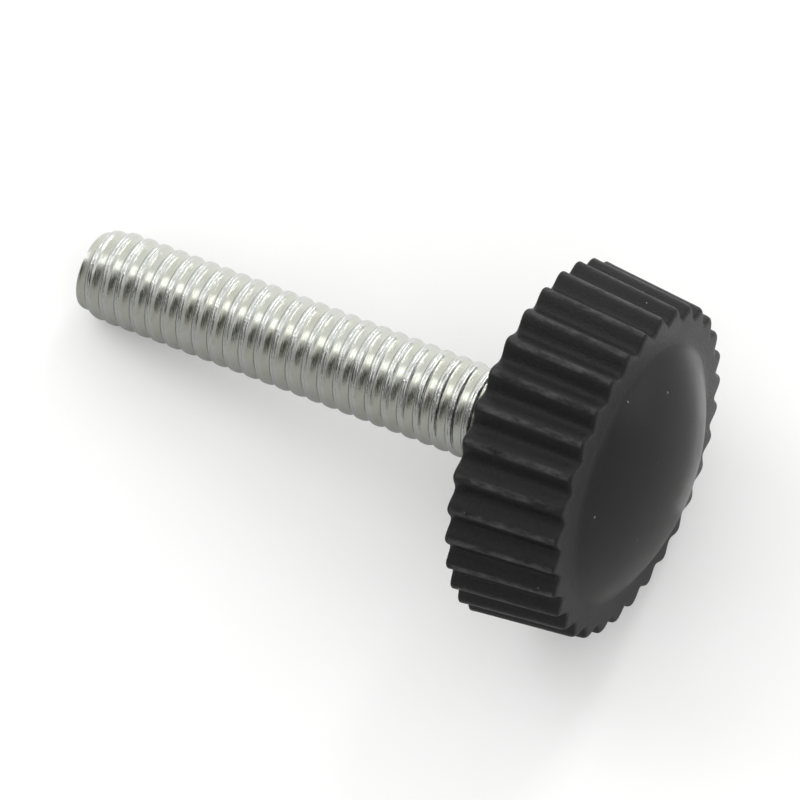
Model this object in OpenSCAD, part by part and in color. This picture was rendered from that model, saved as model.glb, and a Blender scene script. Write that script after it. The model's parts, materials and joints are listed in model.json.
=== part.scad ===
// Thumb screw: a threaded steel stud with a ribbed plastic knob moulded round its head.
// Millimetres, +Z up. The screw lies on its side, on two ribs of the knob and the tip of the stud.
// Each piece is drawn standing, with the knob's seat at height 0 and the stud pointing down,
// and then laid down.

/* [Knob] */
// Diameter over the ribs at the seat, the knob's widest place
knob_diameter = 16; // [14:0.1:20]
// Height from the seat to the flat ring round the dome
band_height = 5; // [4.5:0.1:9]
// Lean of the ribbed side towards the axis, in degrees
side_lean = 6; // [0:0.5:7]
// Radius where the ribbed side turns into the ring
shoulder_radius = 0.3; // [0.1:0.05:0.6]
// Bevel round the edge of the seat
seat_bevel = 0.15; // [0.05:0.05:0.3]

/* [Ribs] */
// Number of ribs round the knob
rib_count = 32; // [16:1:40]
// Radius across the back of a rib
rib_radius = 0.76; // [0.6:0.02:1]
// Depth of the valleys between ribs
valley_depth = 0.41; // [0.2:0.01:0.5]
// Height of the round back that is left off as a narrow land
land_trim = 0.025; // [0.01:0.005:0.06]

/* [Dome] */
// Width of the flat ring, from the foot of the dome to the rounded shoulder
ring_width = 1.35; // [0.6:0.05:2.5]
// Height of the dome over the ring
dome_rise = 1.8; // [0.6:0.05:3]

/* [Stud] */
// Length of the stud from the seat to its tip
stud_length = 22.15; // [10:0.05:32]
// Major diameter of the thread
thread_diameter = 4.166; // [3.5:0.001:5]
// Pitch of the thread, right-handed
thread_pitch = 0.79375; // [0.7:0.00125:0.95]
// Length of the bevelled lead at the tip
lead_length = 0.95; // [0.4:0.05:1]
// How much smaller the radius is at the end of the lead
lead_drop = 0.25; // [0.1:0.05:0.5]
// Plain length under the seat, where the thread runs out
plain_length = 0.2; // [0.1:0.05:2.5]

/* [Anchor] */
// Width across the flats of the hexagonal head that is held in the knob
anchor_width = 6.4; // [5.8:0.1:7.5]
// Height of the hexagonal head
anchor_height = 2.5; // [1.2:0.1:2.8]
// Plastic between the seat and the hexagonal head
anchor_cover = 1; // [0.6:0.1:1.4]

/* [Hidden] */
$fn = 96;

zinc_steel = [0.78, 0.79, 0.76];
black_plastic = [0.1, 0.1, 0.1];

// Knob
knob_radius = knob_diameter / 2;
shoulder_steps = 6;
shoulder_x = knob_radius - (band_height - shoulder_radius) * tan(side_lean) - shoulder_radius / cos(side_lean);
dome_radius = shoulder_x - ring_width;
dome_sphere = (dome_radius ^ 2 + dome_rise ^ 2) / (2 * dome_rise);
dome_root = 0.6;

// Ribs
rib_angle = 360 / rib_count;
rib_centre = knob_radius - rib_radius + land_trim;
land_angle = acos((knob_radius ^ 2 + rib_centre ^ 2 - rib_radius ^ 2) / (2 * knob_radius * rib_centre));
cut_margin = 0.3;

// Stud, and the groove of its thread: flanks at 30 degrees between a broad crest, which rolling
// leaves not quite filled, and a narrow root. The flats are shares of the pitch, as in a standard thread.
// The half turn below the lead puts a crest on the lead's upper edge, on the side that meets the floor.
thread_radius = thread_diameter / 2;
crest_share = 0.32;
root_share = 0.14;
flank_angle = 30;
root_width = root_share * thread_pitch;
groove_depth = (1 - crest_share - root_share) * thread_pitch / 2 / tan(flank_angle);
groove_margin = 0.05;
groove_mouth = root_width + 2 * (groove_depth + groove_margin) * tan(flank_angle);
lead_start = lead_length - stud_length;
turns_below_lead = 2.5;
segments_per_turn = 24;
groove_start = lead_start - turns_below_lead * thread_pitch;
groove_end = -plain_length;
groove_steps = ceil((groove_end - groove_start) / thread_pitch * segments_per_turn);
run_out_steps = segments_per_turn / 2;

// Rest: two ribs of the knob's edge and the crest of the thread behind the tip's lead touch the floor
edge_radius = (knob_radius - seat_bevel * tan(side_lean)) * cos(rib_angle / 2 - land_angle);
rest_tilt = atan((edge_radius - thread_radius) / (seat_bevel - lead_start));
seat_height = edge_radius * cos(rest_tilt) - seat_bevel * sin(rest_tilt);
dome_centre = band_height + dome_rise - dome_sphere;
shoulder_reach = (band_height - shoulder_radius) * cos(rest_tilt) + shoulder_x * sin(rest_tilt) + shoulder_radius;
reach_front = max(dome_centre * cos(rest_tilt) + dome_sphere, shoulder_reach);
reach_back = stud_length * cos(rest_tilt) + (thread_radius - lead_drop) * sin(rest_tilt);

module lay_down() {
    translate([(reach_back - reach_front) / 2, 0, seat_height])
        rotate([0, 90 - rest_tilt, 0])
            children();
}

// Stud: a rolled thread on a rod with a bevelled tip and a hexagonal head
function groove_section(lift) = [
    [thread_radius + groove_margin, -groove_mouth / 2],
    [thread_radius - groove_depth + lift, -root_width / 2],
    [thread_radius - groove_depth + lift, root_width / 2],
    [thread_radius + groove_margin, groove_mouth / 2]
];

function groove_lift(step) =
    let (left = (groove_steps - step) / run_out_steps)
        left < 1 ? (1 - left) * (groove_depth + groove_margin / 2) : 0;

function groove_ring(step) =
    let (angle = 360 * step / segments_per_turn)
        let (height = groove_start + thread_pitch * step / segments_per_turn)
            [for (p = groove_section(groove_lift(step))) [p.x * cos(angle), p.x * sin(angle), height + p.y]];

module thread_groove() {
    corners = len(groove_section(0));
    points = [for (step = [0:groove_steps]) each groove_ring(step)];
    walls = [
        for (step = [0:groove_steps - 1], corner = [0:corners - 1])
            let (a = step * corners + corner)
                let (b = step * corners + (corner + 1) % corners)
                    each [[a, b + corners, b], [a, a + corners, b + corners]]
    ];
    first_cap = [for (corner = [0:corners - 1]) corner];
    last_cap = [for (corner = [corners - 1:-1:0]) groove_steps * corners + corner];
    polyhedron(points, concat(walls, [first_cap, last_cap]), convexity = 10);
}

module stud_blank() {
    translate([0, 0, -stud_length])
        cylinder(h = lead_length, r1 = thread_radius - lead_drop, r2 = thread_radius);
    translate([0, 0, lead_start])
        cylinder(h = anchor_cover - lead_start, r = thread_radius);
    translate([0, 0, anchor_cover])
        cylinder(h = anchor_height, d = anchor_width / cos(30), $fn = 6);
}

module threaded_stud() {
    color(zinc_steel)
        lay_down()
            difference() {
                stud_blank();
                thread_groove();
            }
}

// Knob: one moulding, with the stud's blank as its core
module knob_body() {
    shoulder = [
        for (step = [0:shoulder_steps])
            let (angle = side_lean + (90 - side_lean) * step / shoulder_steps)
                [shoulder_x + shoulder_radius * cos(angle), band_height - shoulder_radius * (1 - sin(angle))]
    ];
    edge = [
        [0, 0],
        [knob_radius - seat_bevel, 0],
        [knob_radius - seat_bevel * tan(side_lean), seat_bevel]
    ];
    rotate_extrude()
        polygon(concat(edge, shoulder, [[0, band_height]]));
}

module dome() {
    intersection() {
        translate([0, 0, dome_centre])
            sphere(r = dome_sphere);
        translate([0, 0, band_height - dome_root])
            cylinder(h = dome_rise + 2 * dome_root, r = dome_radius);
    }
}

module valley() {
    translate([knob_radius, 0, 0])
        rotate([0, -side_lean, 0])
            translate([0, 0, -cut_margin])
                linear_extrude(height = band_height + 2 * cut_margin)
                    difference() {
                        translate([-valley_depth, -knob_radius * sin(rib_angle / 2)])
                            square([valley_depth + cut_margin, 2 * knob_radius * sin(rib_angle / 2)]);
                        for (side = [-1, 1])
                            translate([
                                rib_centre * cos(rib_angle / 2) - knob_radius,
                                side * rib_centre * sin(rib_angle / 2)
                            ])
                                circle(r = rib_radius);
                    }
}

module knob() {
    color(black_plastic)
        lay_down()
            difference() {
                union() {
                    knob_body();
                    dome();
                }
                for (rib = [0:rib_count - 1])
                    rotate(rib * rib_angle)
                        valley();
                stud_blank();
            }
}

threaded_stud();
knob();
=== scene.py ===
import json
import math

import bmesh
import bpy
from mathutils import Matrix, Vector, noise


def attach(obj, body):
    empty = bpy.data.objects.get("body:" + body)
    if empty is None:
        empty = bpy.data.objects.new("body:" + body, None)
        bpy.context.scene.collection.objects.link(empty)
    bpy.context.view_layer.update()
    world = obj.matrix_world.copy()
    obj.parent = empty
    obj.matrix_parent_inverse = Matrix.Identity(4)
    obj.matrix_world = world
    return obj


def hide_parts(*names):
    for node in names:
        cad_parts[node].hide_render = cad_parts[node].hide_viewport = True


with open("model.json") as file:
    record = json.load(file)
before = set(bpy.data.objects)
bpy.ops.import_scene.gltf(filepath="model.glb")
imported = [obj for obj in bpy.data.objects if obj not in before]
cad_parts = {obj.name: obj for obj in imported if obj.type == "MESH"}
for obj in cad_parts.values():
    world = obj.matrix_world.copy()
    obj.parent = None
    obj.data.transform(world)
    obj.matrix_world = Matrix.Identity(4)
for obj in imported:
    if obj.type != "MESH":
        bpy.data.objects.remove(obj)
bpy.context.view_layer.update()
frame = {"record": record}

# --- Threaded stud -----------------------------------------------------------------------------
# A steel rod with a No. 8 thread, 32 to the inch, rolled into it between dies, which leaves a fine
# seam along each crest. It is bright zinc plated, and the hexagonal head on its inner end is held
# inside the knob.
stud_length = 22.15
thread_radius = 2.083
thread_pitch = 25.4 / 32
lead_length = 0.95
lead_drop = 0.25
run_out = 0.2
head_radius = 6.4 / 2 / math.cos(math.radians(30))
head_bottom = 1.0
head_height = 2.5
head_bevel = 0.12
rod_top = head_bottom + 0.2

# The thread's form: depths in millimetres, widths as shares of the pitch. The groove is drawn under
# a third as deep as a full thread, so that its plated roots stay bright.
groove_depth = 0.108
crest_width = 0.31
shoulder_drop = 0.02
seam_width = 0.036
seam_depth = 0.034
flank_width = 0.115
root_dish = 0.02
root_width = 1 - crest_width - 2 * flank_width

# Unevenness that rolling leaves. The seam strays by a share of the pitch and comes and goes along the
# thread, and the surface sinks by up to twice the waviness, in millimetres.
seam_wander = 0.018
seam_reach = 0.1
seam_mean = 0.6
seam_breaks = 0.9
waviness = 0.005

# The tip is cut square and lightly dished: shares of its radius, and how deep they lie.
tip_dish = ((0.94, 0.03), (0.8, 0.1), (0.5, 0.16), (0.0, 0.18))
flat_end = ((0.0, 0.0),)

columns_per_turn = 72
crest_rows = 24
flank_places = (0, 0.45, 0.92)
root_rows = 8
weld_distance = 1e-4
axis_distance = 1e-6
sharp_angle = math.radians(50)

# The screw is built standing, in millimetres, with the knob's seat at height 0 and the stud
# pointing down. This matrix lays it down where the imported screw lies.
mounts = {mount["name"]: mount for mount in frame["record"]["mounts"]}
to_dome = -Vector(mounts["thread"]["axis"])
seat_centre = Vector(mounts["seat"]["pos_m"])
seat_centre.y = 0
lying = Matrix.Translation(seat_centre) @ Matrix((
    (to_dome.z, 0, to_dome.x, 0),
    (0, 1, 0, 0),
    (-to_dome.x, 0, to_dome.z, 0),
    (0, 0, 0, 1),
)) @ Matrix.Scale(0.001, 4)


def thread_depth(across, broken=1):
    """How far the thread lies below its crest, at a place across one pitch, from -0.5 to 0.5."""
    half = crest_width / 2
    if abs(across) < half:
        seam = broken * seam_depth * math.exp(-(across / seam_width) ** 2)
        return shoulder_drop * abs(across / half) ** 5 + seam
    down = min(1, (abs(across) - half) / flank_width)
    from_root = min(1, (0.5 - abs(across)) / (0.5 - half - flank_width))
    flank = (groove_depth - shoulder_drop - root_dish) * down
    return shoulder_drop + flank + root_dish * (1 - from_root ** 2)


def unevenness(angle, place, around, along):
    """Smooth noise from -1 to 1, with its pace round the stud and from one turn to the next."""
    return noise.noise((around * math.cos(angle), around * math.sin(angle), along * place))


def wrapped_skin(name, rows, rise=0):
    """A mesh over rows of points that run round the screw. A row closes on the one `rise` rows on."""
    width = len(rows[0])
    faces = []
    for row in range(len(rows) - 1 - rise):
        for column in range(width):
            ahead = (column + 1) % width
            level = row if ahead else row + rise
            faces.append((
                row * width + column,
                level * width + ahead,
                (level + 1) * width + ahead,
                (row + 1) * width + column,
            ))
    mesh = bpy.data.meshes.new(name)
    mesh.from_pydata([point for row in rows for point in row], [], faces)
    return mesh


def store(mesh, name, kind, values):
    """Keeps one value a vertex on the mesh, for its material to read."""
    attribute = mesh.attributes.new(name, kind, "POINT")
    field = "value" if kind == "FLOAT" else "vector"
    flat = values if kind == "FLOAT" else [number for value in values for number in value]
    attribute.data.foreach_set(field, flat)


def weld_centre(shape):
    """Joins the vertices that lie on the screw's axis, one for each height."""
    centre = [vertex for vertex in shape.verts if vertex.co.xy.length < axis_distance]
    bmesh.ops.remove_doubles(shape, verts=centre, dist=weld_distance)


def shade(shape):
    """Smooth shading that stops at sharp edges."""
    for face in shape.faces:
        face.smooth = True
    for edge in shape.edges:
        edge.smooth = edge.calc_face_angle(0) < sharp_angle


def add_object(name, mesh):
    """Puts a mesh into the scene as an object."""
    thing = bpy.data.objects.new(name, mesh)
    bpy.context.collection.objects.link(thing)
    return thing


# One pitch in steps, from one edge of the crest down a flank, over the root and up the next flank.
steps = [crest_width * (i / crest_rows - 0.5) for i in range(crest_rows)]
steps += [crest_width / 2 + flank_width * place for place in flank_places]
steps += [0.5 + root_width * (i / root_rows - 0.5) for i in range(root_rows + 1)]
steps += [1 - crest_width / 2 - flank_width * place for place in reversed(flank_places[1:])]
rows_per_pitch = len(steps)

# The thread runs on past both ends of the rod, which are then cut off square.
lead_start = lead_length - stud_length
first_turn = -3
turns = math.ceil((rod_top - lead_start) / thread_pitch) + 1 - first_turn
rows = []
rolled = []
groove_share = []
for row in range(turns * rows_per_pitch):
    turn, step = divmod(row, rows_per_pitch)
    place = first_turn + turn + steps[step]
    across = steps[step] - (1 if steps[step] > 0.5 else 0)
    points = []
    for column in range(columns_per_turn):
        angle = 2 * math.pi * column / columns_per_turn
        z = lead_start + thread_pitch * (place + angle / (2 * math.pi))
        wander = seam_wander * unevenness(angle, place, 3, 5.3) if abs(across) < seam_reach else 0
        broken = seam_mean + seam_breaks * unevenness(angle, place, 9, 3.1)
        fade = min(1, max(0, -z / run_out))
        radius = thread_radius - thread_depth(across + wander, broken) * fade
        radius -= waviness * (1 + unevenness(angle, place, 5, 9))
        if z < lead_start:
            radius -= lead_drop * (lead_start - z) / lead_length
        x, y = radius * math.cos(angle), radius * math.sin(angle)
        points.append((x, y, z))
        rolled.append((x, y, thread_pitch * place))
        groove_share.append(min(1, thread_depth(across) / groove_depth))
    rows.append(points)
mesh = wrapped_skin("threaded_stud_rolled", rows, rise=rows_per_pitch)
store(mesh, "rolled", "FLOAT_VECTOR", rolled)
store(mesh, "groove_share", "FLOAT", groove_share)

shape = bmesh.new()
shape.from_mesh(mesh)
for height, is_tip in ((-stud_length, True), (rod_top, False)):
    everything = shape.verts[:] + shape.edges[:] + shape.faces[:]
    bmesh.ops.bisect_plane(
        shape, geom=everything, plane_co=(0, 0, height), plane_no=(0, 0, 1),
        clear_inner=is_tip, clear_outer=not is_tip,
    )
    rim = [edge for edge in shape.edges
           if edge.is_boundary and abs(edge.verts[0].co.z - height) < weld_distance]
    reach = 1.0
    for share, depth in tip_dish if is_tip else flat_end:
        made = bmesh.ops.extrude_edge_only(shape, edges=rim)["geom"]
        rim = [item for item in made if isinstance(item, bmesh.types.BMEdge) and item.is_boundary]
        for vertex in dict.fromkeys(vertex for edge in rim for vertex in edge.verts):
            vertex.co.x *= share / reach
            vertex.co.y *= share / reach
            vertex.co.z = height + depth
        reach = share
    weld_centre(shape)
head = bmesh.ops.create_cone(
    shape, cap_ends=True, segments=6, radius1=head_radius, radius2=head_radius,
    depth=head_height,
    matrix=Matrix.Translation((0, 0, head_bottom + head_height / 2)),
)["verts"]
head_edges = list(dict.fromkeys(edge for vertex in head for edge in vertex.link_edges))
bmesh.ops.bevel(shape, geom=head_edges, offset=head_bevel, segments=2, affect="EDGES")
bmesh.ops.recalc_face_normals(shape, faces=shape.faces[:])
shade(shape)
shape.to_mesh(mesh)
shape.free()
mesh.transform(lying)
stud = add_object("threaded_stud_rolled", mesh)
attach(stud, "root")
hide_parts("threaded_stud")


def linear(code):
    """The linear colour of an sRGB hex code."""
    parts = [int(code[i:i + 2], 16) / 255 for i in (1, 3, 5)]
    return [p / 12.92 if p <= 0.04045 else ((p + 0.055) / 1.055) ** 2.4 for p in parts] + [1]


def add_node(tree, kind, inputs=None, **settings):
    """A shader node with its settings, each input given as a socket to link or a value to set."""
    node = tree.nodes.new(kind)
    for name, value in settings.items():
        setattr(node, name, value)
    for name, value in (inputs or {}).items():
        if isinstance(value, bpy.types.NodeSocket):
            tree.links.new(value, node.inputs[name])
        else:
            node.inputs[name].default_value = value
    return node


def new_material(name):
    """An empty material, its node tree and its output."""
    material = bpy.data.materials.new(name)
    material.use_nodes = True
    material.node_tree.nodes.clear()
    output = add_node(material.node_tree, "ShaderNodeOutputMaterial")
    return material, material.node_tree, output


# Bright zinc plate on rolled steel: smooth enough to mirror the room in streaks that run along the
# thread, with a faint yellow-green cast where the plating bath has pooled in the grooves. Scales
# are in cells a millimetre, in a space whose rings follow the thread.
crest_zinc = linear("#ced0cc")
groove_zinc = linear("#c6c7bb")
relief_depth = 0.000022
zinc, tree, output = new_material("bright_zinc_plate")
along = add_node(tree, "ShaderNodeAttribute", attribute_name="rolled")
groove = add_node(tree, "ShaderNodeAttribute", attribute_name="groove_share")
# Drawn streaks, about 0.05 mm across the thread and 0.8 mm along it.
stretched = add_node(tree, "ShaderNodeMapping", {
    "Vector": along.outputs["Vector"], "Scale": (1.2, 1.2, 20)})
streaks = add_node(tree, "ShaderNodeTexNoise", {
    "Vector": stretched.outputs["Vector"], "Scale": 1.0, "Detail": 3.0, "Roughness": 0.6})
# The plating clouds over in patches about 1.4 mm across.
clouds = add_node(tree, "ShaderNodeTexNoise", {
    "Vector": along.outputs["Vector"], "Scale": 0.7, "Detail": 2.0})
cast = add_node(tree, "ShaderNodeMath", {
    0: groove.outputs["Fac"], 1: clouds.outputs["Fac"]}, operation="MULTIPLY")
tint = add_node(tree, "ShaderNodeMapRange", {
    "Value": cast.outputs["Value"], "From Min": 0.1, "From Max": 0.6})
colour = add_node(tree, "ShaderNodeMix", {
    0: tint.outputs["Result"], 6: crest_zinc, 7: groove_zinc}, data_type="RGBA")
# The dies burnish the crests, and the roots stay duller.
worn = add_node(tree, "ShaderNodeMapRange", {
    "Value": groove.outputs["Fac"], "From Min": 0.1, "From Max": 0.7,
    "To Min": 0.03, "To Max": 0.16})
gloss = add_node(tree, "ShaderNodeMath", {
    0: streaks.outputs["Fac"], 1: 0.1, 2: worn.outputs["Result"]}, operation="MULTIPLY_ADD")
relief = add_node(tree, "ShaderNodeBump", {
    "Height": streaks.outputs["Fac"], "Strength": 0.8, "Distance": relief_depth})
# The seam's lips are torn and ragged, on the crests alone, in bits of about 0.1 mm.
torn = add_node(tree, "ShaderNodeTexNoise", {
    "Vector": along.outputs["Vector"], "Scale": 9.0, "Detail": 2.0})
on_crest = add_node(tree, "ShaderNodeMapRange", {
    "Value": groove.outputs["Fac"], "From Max": 0.2, "To Min": 1.0, "To Max": 0.0})
relief = add_node(tree, "ShaderNodeBump", {
    "Height": torn.outputs["Fac"], "Strength": on_crest.outputs["Result"],
    "Distance": relief_depth, "Normal": relief.outputs["Normal"]})
surface = add_node(tree, "ShaderNodeBsdfPrincipled", {
    "Base Color": colour.outputs[2], "Metallic": 1.0, "Roughness": gloss.outputs["Value"],
    "Normal": relief.outputs["Normal"]})
tree.links.new(surface.outputs["BSDF"], output.inputs["Surface"])
stud.data.materials.append(zinc)

# --- Knob --------------------------------------------------------------------------------------
# One moulding of black nylon round the stud's head: a side with 32 ribs that leans in towards the
# face, a flat ring, and a low dome. The mould's ribs are spark-eroded and its face is polished.
knob_radius = 8.0
band_height = 5.0
side_lean = math.radians(6)
shoulder_radius = 0.3
seat_bevel = 0.15
rib_count = 32
valley_depth = 0.43
ring_width = 1.35
dome_rise = 1.8

# The seat's edge and the dome are drawn a few thousandths of a millimetre small, so that they stay
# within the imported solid.
edge_sink = 0.003
dome_sink = 0.005

# The stud's pocket and bore, just clear of it.
socket_clearance = 0.02
pocket_radius = head_radius + socket_clearance
bore_radius = thread_radius + socket_clearance
pocket_floor = head_bottom - socket_clearance
pocket_top = head_bottom + head_height + socket_clearance

# How finely the outline is divided, and where rows hold its flat stretches in place.
bore_edge = 0.02
seat_rows = (3.5, 5.5)
dome_foot = 0.05
bevel_rows = 3
side_rows = 14
shoulder_rows = 7
ring_rows = 3
dome_rows = 19
dome_spacing = 0.8
columns_per_rib = 24

shoulder_x = (knob_radius - (band_height - shoulder_radius) * math.tan(side_lean)
              - shoulder_radius / math.cos(side_lean))
dome_radius = shoulder_x - ring_width
dome_sphere = (dome_radius ** 2 + dome_rise ** 2) / (2 * dome_rise)


def valley_share(angle):
    """How far the ribbed side lies inside the knob's round outline, at an angle round the knob."""
    off = angle * rib_count / (2 * math.pi) % 1 - 0.5
    return valley_depth * (1 - math.cos(2 * math.pi * off)) / 2


def side_line(inset):
    """The knob's outline from the middle of its pocket out over the seat and up to the dome's top."""
    line = [(0, pocket_top), (pocket_radius, pocket_top), (pocket_radius, pocket_floor)]
    line += [(bore_radius, pocket_floor), (bore_radius, 0), (bore_radius + bore_edge, 0)]
    line += [(x, 0) for x in seat_rows]
    for i in range(bevel_rows + 1):
        turn = i / bevel_rows * (math.pi / 2 - side_lean)
        line.append((knob_radius - inset - seat_bevel * (1 - math.sin(turn)) - edge_sink,
                     seat_bevel * (1 - math.cos(turn))))
    low, high = seat_bevel, band_height - shoulder_radius
    for i in range(1, side_rows + 1):
        z = low + (high - low) * i / side_rows
        line.append((knob_radius - inset - z * math.tan(side_lean), z))
    for i in range(1, shoulder_rows + 1):
        turn = side_lean + (math.pi / 2 - side_lean) * i / shoulder_rows
        line.append((shoulder_x - inset + shoulder_radius * math.cos(turn),
                     band_height - shoulder_radius * (1 - math.sin(turn))))
    inner = dome_radius + dome_foot
    for i in range(1, ring_rows + 1):
        line.append((inner + (shoulder_x - inset - inner) * (1 - i / ring_rows), band_height))
    for i in range(1, dome_rows + 1):
        x = dome_radius * (1 - i / dome_rows) ** dome_spacing
        line.append((x, band_height + dome_rise - dome_sphere
                     + math.sqrt(dome_sphere ** 2 - x ** 2) - dome_sink))
    return line


columns = rib_count * columns_per_rib
angles = [2 * math.pi * column / columns for column in range(columns)]
lines = [side_line(valley_share(angle)) for angle in angles]
rows = [
    [(x * math.cos(angle), x * math.sin(angle), z) for angle, (x, z) in zip(angles, level)]
    for level in zip(*lines)
]
mesh = wrapped_skin("knob_moulding", rows)
store(mesh, "standing", "FLOAT_VECTOR", [tuple(vertex.co) for vertex in mesh.vertices])
# How near each place on the side is to the back of a rib, for the painted highlight lines along the
# ribs.
highlight_start = seat_bevel / 2
highlight_end = band_height - 0.1
ridge = []
for row in rows:
    on_side = highlight_start < row[0][2] < highlight_end
    ridge += [1 - valley_share(angle) / valley_depth if on_side else 0 for angle in angles]
store(mesh, "ridge", "FLOAT", ridge)

# The face, from near the top of the shoulder inwards, takes the second of the knob's two finishes.
face_edge = band_height - 0.06
shape = bmesh.new()
shape.from_mesh(mesh)
weld_centre(shape)
for face in shape.faces:
    face.material_index = int(face.calc_center_median().z > face_edge)
shade(shape)
shape.to_mesh(mesh)
shape.free()
mesh.transform(lying)
knob = add_object("knob_moulding", mesh)
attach(knob, "root")
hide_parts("knob")

# Black nylon, moulded: matt and faintly grainy where the mould is spark-eroded, and smoother on the
# polished dome. Scales are in cells a millimetre.
nylon_dark = linear("#121213")
nylon_pale = linear("#242425")
dome_nylon = linear("#0b0b0c")
# The pale grey of the painted highlight along the backs of the ribs.
ridge_highlight_grey = linear("#4c4c4b")
dust_grey = linear("#747472")
nylon_ior = 1.53
grain_depth = 0.00006
dome_edge = 0.03
dome_base = band_height - 0.05


def moulded_nylon(name, specular):
    """Black nylon with the grain of the mould, for one of the knob's two finishes."""
    nylon, tree, output = new_material(name)
    standing = add_node(tree, "ShaderNodeAttribute", attribute_name="standing")
    apart = add_node(tree, "ShaderNodeSeparateXYZ", {0: standing.outputs["Vector"]})
    flat = add_node(tree, "ShaderNodeCombineXYZ", {
        "X": apart.outputs["X"], "Y": apart.outputs["Y"]})
    radius = add_node(tree, "ShaderNodeVectorMath", {0: flat.outputs["Vector"]}, operation="LENGTH")
    inside = add_node(tree, "ShaderNodeMapRange", {
        "Value": radius.outputs["Value"], "From Min": dome_radius + dome_edge,
        "From Max": dome_radius - dome_edge})
    raised = add_node(tree, "ShaderNodeMath", {
        0: apart.outputs["Z"], 1: dome_base}, operation="GREATER_THAN")
    dome_mask = add_node(tree, "ShaderNodeMath", {
        0: inside.outputs["Result"], 1: raised.outputs["Value"]}, operation="MULTIPLY")
    # Spark-eroded grain, about 0.1 mm.
    grain = add_node(tree, "ShaderNodeTexNoise", {
        "Vector": standing.outputs["Vector"], "Scale": 9.0, "Detail": 4.0, "Roughness": 0.65})
    # Slow variation from the flow of the nylon, about 1.7 mm.
    flow = add_node(tree, "ShaderNodeTexNoise", {
        "Vector": standing.outputs["Vector"], "Scale": 0.6, "Detail": 2.0})
    depth = add_node(tree, "ShaderNodeMapRange", {
        "Value": dome_mask.outputs["Value"], "To Min": 0.9, "To Max": 0.1})
    relief = add_node(tree, "ShaderNodeBump", {
        "Height": grain.outputs["Fac"], "Strength": depth.outputs["Result"],
        "Distance": grain_depth})
    matt = add_node(tree, "ShaderNodeMapRange", {
        "Value": dome_mask.outputs["Value"], "To Min": 0.3, "To Max": 0.27})
    uneven = add_node(tree, "ShaderNodeMath", {
        0: flow.outputs["Fac"], 1: 0.12, 2: matt.outputs["Result"]}, operation="MULTIPLY_ADD")
    colour = add_node(tree, "ShaderNodeMix", {
        0: grain.outputs["Fac"], 6: nylon_dark, 7: nylon_pale}, data_type="RGBA")
    colour = add_node(tree, "ShaderNodeMix", {
        0: dome_mask.outputs["Value"], 6: colour.outputs[2], 7: dome_nylon}, data_type="RGBA")
    # The backs of the ribs carry a painted highlight: pale broken lines along them, in lengths of
    # about a millimetre.
    ridge = add_node(tree, "ShaderNodeAttribute", attribute_name="ridge")
    along_rib = add_node(tree, "ShaderNodeMapping", {
        "Vector": standing.outputs["Vector"], "Scale": (2.2, 2.2, 0.9)})
    highlight_breaks = add_node(tree, "ShaderNodeTexNoise", {
        "Vector": along_rib.outputs["Vector"], "Scale": 1.0, "Detail": 4.0, "Roughness": 0.7})
    top = add_node(tree, "ShaderNodeMapRange", {
        "Value": ridge.outputs["Fac"], "From Min": 0.86, "From Max": 0.99})
    highlight_broken = add_node(tree, "ShaderNodeMapRange", {
        "Value": highlight_breaks.outputs["Fac"], "From Min": 0.4, "From Max": 0.7})
    painted_ridge_highlight = add_node(tree, "ShaderNodeMath", {
        0: top.outputs["Result"], 1: highlight_broken.outputs["Result"]}, operation="MULTIPLY")
    colour = add_node(tree, "ShaderNodeMix", {
        0: painted_ridge_highlight.outputs["Value"], 6: colour.outputs[2], 7: ridge_highlight_grey}, data_type="RGBA")
    # Dust specks, about 0.05 mm: the few highest peaks of cells about 0.3 mm across.
    dust = add_node(tree, "ShaderNodeTexNoise", {
        "Vector": standing.outputs["Vector"], "Scale": 3.2, "Detail": 1.0})
    speck = add_node(tree, "ShaderNodeMapRange", {
        "Value": dust.outputs["Fac"], "From Min": 0.8, "From Max": 0.82})
    colour = add_node(tree, "ShaderNodeMix", {
        0: speck.outputs["Result"], 6: colour.outputs[2], 7: dust_grey}, data_type="RGBA")
    surface = add_node(tree, "ShaderNodeBsdfPrincipled", {
        "Base Color": colour.outputs[2], "Roughness": uneven.outputs["Value"],
        "Specular IOR Level": specular, "IOR": nylon_ior,
        "Normal": relief.outputs["Normal"]})
    tree.links.new(surface.outputs["BSDF"], output.inputs["Surface"])
    return nylon


# The eroded ribs lose over half of their sheen in their own grain, and the face keeps all of it.
knob.data.materials.append(moulded_nylon("black_nylon_ribs", 0.22))
knob.data.materials.append(moulded_nylon("black_nylon_face", 0.5))

# --- Floor -------------------------------------------------------------------------------------
# A sheet of white matt card that the screw lies on, far larger than the view, so that its edges
# never show. Sizes are in metres from here on.
floor_size = 4.0


def matt_sheet(name, darker, paler, grain):
    """A material for a dead matt sheet, its fibres mottled between two tones."""
    sheet, tree, output = new_material(name)
    fibres = add_node(tree, "ShaderNodeTexNoise", {"Scale": grain, "Detail": 2.0})
    colour = add_node(tree, "ShaderNodeMix", {
        0: fibres.outputs["Fac"], 6: linear(darker), 7: linear(paler)}, data_type="RGBA")
    surface = add_node(tree, "ShaderNodeBsdfPrincipled", {
        "Base Color": colour.outputs[2], "Roughness": 1.0, "Specular IOR Level": 0.0})
    tree.links.new(surface.outputs["BSDF"], output.inputs["Surface"])
    return sheet


mesh = bpy.data.meshes.new("floor")
half = floor_size / 2
mesh.from_pydata([(-half, -half, 0), (half, -half, 0), (half, half, 0), (-half, half, 0)],
                 [], [(0, 1, 2, 3)])
floor = add_object("floor", mesh)
floor.data.materials.append(matt_sheet("white_card", "#fcfcfb", "#ffffff", 900.0))

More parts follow.
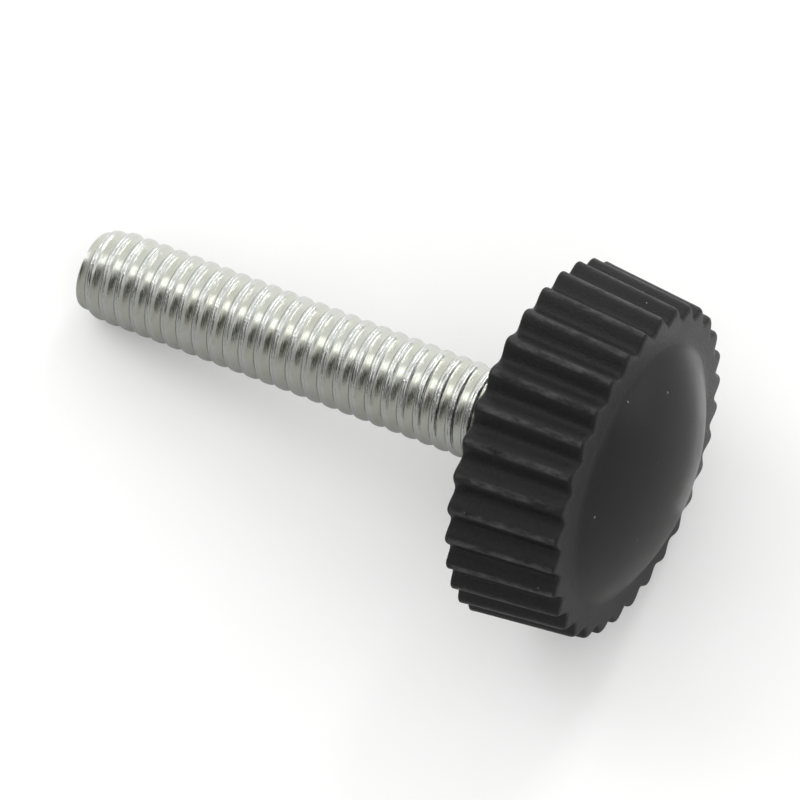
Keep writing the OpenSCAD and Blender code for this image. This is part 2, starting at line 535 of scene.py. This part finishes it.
# --- Lights ------------------------------------------------------------------------------------
# A plain pale room lights the screw from all round. A tall narrow lamp behind it draws one thin
# bright line on each crest, and a round soft lamp at the left brightens what faces that way.
room_brightness = 0.97
lamp_distance = 0.5
world = bpy.data.worlds.new("pale_room")
bpy.context.scene.world = world
world.use_nodes = True
world.node_tree.nodes.clear()
room = add_node(world.node_tree, "ShaderNodeBackground", {
    "Color": (1, 1, 1, 1), "Strength": room_brightness})
add_node(world.node_tree, "ShaderNodeOutputWorld", {"Surface": room.outputs["Background"]})


def hang_lamp(name, azimuth, elevation, width, height, brightness):
    """A soft lamp that faces the screw. Brightness is the radiance of the lamp's own face."""
    data = bpy.data.lights.new(name, "AREA")
    data.shape = "ELLIPSE"
    data.size = width
    data.size_y = height
    data.energy = brightness * math.pi * math.pi * width * height / 4
    lamp = add_object(name, data)
    turn, rise = math.radians(azimuth), math.radians(elevation)
    away = Vector((math.cos(rise) * math.cos(turn), math.cos(rise) * math.sin(turn), math.sin(rise)))
    lamp.location = lamp_distance * away
    lamp.rotation_euler = away.to_track_quat("Z", "Y").to_euler()


hang_lamp("strip_lamp_behind", 88, 28, width=0.07, height=0.66, brightness=5)
hang_lamp("soft_lamp_left", 170, 48, width=0.25, height=0.25, brightness=1.8)

# --- Dark screen -------------------------------------------------------------------------------
# A curved screen of black flock in front of the screw. The camera doesn't see it and it casts no
# shadow: it only shows as the dark band that the zinc and the nylon mirror.
screen_panels = 24
screen_radius = 0.3
screen_top = 0.5


def curved_screen(name, radius, start, sweep, bottom):
    """A sheet that stands round the screw, from one angle in degrees through another."""
    arc = [math.radians(start + sweep * i / screen_panels) for i in range(screen_panels + 1)]
    points = [(radius * math.cos(a), radius * math.sin(a), z)
              for z in (bottom, screen_top) for a in arc]
    upper = len(arc)
    mesh = bpy.data.meshes.new(name)
    mesh.from_pydata(
        points, [], [(i, i + 1, upper + i + 1, upper + i) for i in range(screen_panels)])
    return add_object(name, mesh)


def show_in_mirrors_alone(thing):
    """Hides a sheet from the camera and from matt surfaces, so that only sheen shows it."""
    thing.visible_camera = False
    thing.visible_shadow = False
    thing.visible_diffuse = False


screen = curved_screen("dark_screen", screen_radius, -163, 63, bottom=0.09)
show_in_mirrors_alone(screen)
screen.data.materials.append(matt_sheet("black_flock", "#383836", "#424240", 400.0))

# --- Grey screen -------------------------------------------------------------------------------
# A wider screen of grey card that reaches down to the floor, just outside the dark one. It tones
# down what the zinc mirrors from the front and the knob's end, and is hidden in the same way.
screen_gap = 0.01
lift_off_floor = 0.0005
grey_screen = curved_screen(
    "grey_screen", screen_radius + screen_gap, -178, 200, bottom=lift_off_floor)
show_in_mirrors_alone(grey_screen)

# --- Grey board --------------------------------------------------------------------------------
# An L-shaped board of pale grey card on the floor, under the stud's near side and beyond the knob's
# end. The zinc and the nylon mirror it there in place of the white floor. It is hidden as well.
board_height = 0.0003
board_left = -0.2
board_right = 0.25
board_reach = 0.25
board_corner_x = 0.018
board_corner_y = 0.002
board_outline = [
    (board_left, -board_reach), (board_right, -board_reach), (board_right, board_reach),
    (board_corner_x, board_reach), (board_corner_x, board_corner_y), (board_left, board_corner_y),
]
mesh = bpy.data.meshes.new("grey_board")
mesh.from_pydata(
    [(x, y, board_height) for x, y in board_outline], [], [tuple(range(len(board_outline)))])
board = add_object("grey_board", mesh)
show_in_mirrors_alone(board)
grey_screen.data.materials.append(matt_sheet("grey_card", "#a6a6a4", "#b2b2b0", 400.0))
board.data.materials.append(matt_sheet("pale_card", "#aeaeac", "#bababa", 400.0))

# --- Camera ------------------------------------------------------------------------------------
# A long lens, high over the screw and a little to the knob's side, where it sees both the knob's
# face and the whole length of the stud.
camera_place = (0.035114, -0.074618, 0.241972)
azimuth = math.radians(24.582)
elevation = math.radians(71.001)
roll = math.radians(2.288)
camera_data = bpy.data.cameras.new("camera")
camera_data.lens = 261
camera_data.sensor_width = 36
camera = add_object("camera", camera_data)
back = Vector((math.sin(azimuth) * math.cos(elevation),
               -math.cos(azimuth) * math.cos(elevation), math.sin(elevation)))
camera.location = camera_place
camera.rotation_mode = "QUATERNION"
camera.rotation_quaternion = (
    back.to_track_quat("Z", "Y") @ Matrix.Rotation(roll, 3, "Z").to_quaternion())
bpy.context.scene.camera = camera
bpy.context.scene.view_settings.view_transform = "Standard"
